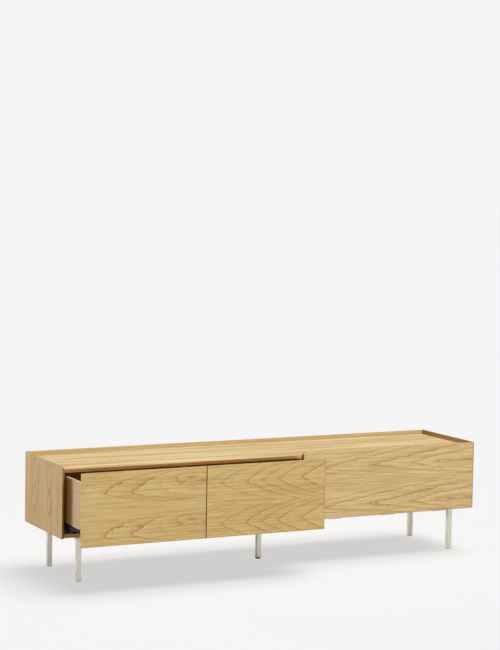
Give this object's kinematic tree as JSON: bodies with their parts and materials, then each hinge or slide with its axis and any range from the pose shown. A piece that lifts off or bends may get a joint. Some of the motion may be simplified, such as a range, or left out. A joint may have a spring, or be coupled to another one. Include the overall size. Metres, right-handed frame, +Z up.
{
  "type": "tv stand",
  "caption": "Low oak-veneered TV stand with pull-out drawers and a drop-down flap under a recessed top, on slim metal legs with an adjustable centre foot.",
  "frame": {"origin": "on the floor under the centre leg's foot, in the middle of the casing's width", "axes": "+X to the right along the width seen from the front, +Y to the back, +Z up"},
  "size_m": [1.88, 0.596, 0.465],
  "materials": {
    "oak_veneer": "oak veneer, matt lacquer",
    "drawer_wood": "oak board, matt lacquer",
    "dowel_wood": "beech, plain",
    "runner_steel": "black coated steel",
    "leg_paint": "stone grey powder coat",
    "zinc_steel": "zinc plated",
    "dark_plastic": "moulded, matt",
    "glide_plastic": "moulded, matt",
    "foot_rubber": "black, matt",
    "bumper_rubber": "clear soft dots, shown grey"
  },
  "bodies": {
    "casing": {"back_left_leg": "leg_paint", "back_panel": "oak_veneer", "back_right_leg": "leg_paint", "bottom_panel": "oak_veneer", "cable_grommet": "dark_plastic", "casing_dowels": "dowel_wood", "centre_leg": "leg_paint", "centre_leg_nut": "zinc_steel", "fitting_screws": "zinc_steel", "front_bumpers": "bumper_rubber", "front_left_leg": "leg_paint", "front_right_leg": "leg_paint", "hinge_casing_leaves": "zinc_steel", "hinge_pins": "zinc_steel", "left_drawer_left_rail": "runner_steel", "left_drawer_right_rail": "runner_steel", "left_partition": "oak_veneer", "left_side_panel": "oak_veneer", "leg_glides": "glide_plastic", "leg_plates": "leg_paint", "leg_screws": "zinc_steel", "magnetic_catch": "dark_plastic", "middle_drawer_left_rail": "runner_steel", "middle_drawer_right_rail": "runner_steel", "right_partition": "oak_veneer", "right_side_panel": "oak_veneer", "stay_studs": "zinc_steel", "top_panel": "oak_veneer"},
    "left_drawer": {"left_drawer_back": "drawer_wood", "left_drawer_bottom": "drawer_wood", "left_drawer_box_front": "drawer_wood", "left_drawer_front": "oak_veneer", "left_drawer_front_screws": "zinc_steel", "left_drawer_left_side": "drawer_wood", "left_drawer_left_slide": "runner_steel", "left_drawer_right_side": "drawer_wood", "left_drawer_right_slide": "runner_steel"},
    "left_carriages": {"left_drawer_left_carriage": "runner_steel", "left_drawer_right_carriage": "runner_steel"},
    "middle_drawer": {"middle_drawer_back": "drawer_wood", "middle_drawer_bottom": "drawer_wood", "middle_drawer_box_front": "drawer_wood", "middle_drawer_front": "oak_veneer", "middle_drawer_front_screws": "zinc_steel", "middle_drawer_left_side": "drawer_wood", "middle_drawer_left_slide": "runner_steel", "middle_drawer_right_side": "drawer_wood", "middle_drawer_right_slide": "runner_steel"},
    "middle_carriages": {"middle_drawer_left_carriage": "runner_steel", "middle_drawer_right_carriage": "runner_steel"},
    "flap": {"flap": "oak_veneer", "flap_screws": "zinc_steel", "hinge_flap_leaves": "zinc_steel", "stay_brackets": "zinc_steel", "strike_plate": "zinc_steel"},
    "stay_arms": {"left_stay_arm": "zinc_steel", "right_stay_arm": "zinc_steel"},
    "levelling_foot": {"foot_collar": "leg_paint", "foot_pad": "foot_rubber", "foot_stud": "zinc_steel"}
  },
  "joints": [
    {"name": "left_drawer_slide", "type": "slide", "parent": "casing", "child": "left_drawer", "axis": [0, -1, 0], "range_m": [-0.186, 0.154]},
    {"name": "left_carriage_slide", "type": "slide", "parent": "casing", "child": "left_carriages", "axis": [0, -1, 0], "range_m": [-0.093, 0.077]},
    {"name": "middle_drawer_slide", "type": "slide", "parent": "casing", "child": "middle_drawer", "axis": [0, -1, 0], "range_m": [-0.186, 0.154]},
    {"name": "middle_carriage_slide", "type": "slide", "parent": "casing", "child": "middle_carriages", "axis": [0, -1, 0], "range_m": [-0.093, 0.077]},
    {"name": "flap_hinge", "type": "hinge", "parent": "casing", "child": "flap", "pos_m": [0.52525, -0.1595, 0.178], "axis": [1, 0, 0], "range_deg": [0, 90]},
    {"name": "stay_arm_hinge", "type": "hinge", "parent": "flap", "child": "stay_arms", "pos_m": [0.5215, -0.146, 0.34746], "axis": [1, 0, 0], "range_deg": [-45, 0]},
    {"name": "foot_screw", "type": "slide", "parent": "casing", "child": "levelling_foot", "axis": [0, 0, -1], "range_m": [0, 0.012]}
  ],
  "couplings": [
    {"joint": "left_carriage_slide", "follows": "left_drawer_slide", "ratio": 0.5},
    {"joint": "middle_carriage_slide", "follows": "middle_drawer_slide", "ratio": 0.5},
    {"joint": "stay_arm_hinge", "follows": "flap_hinge", "ratio": -0.5}
  ]
}
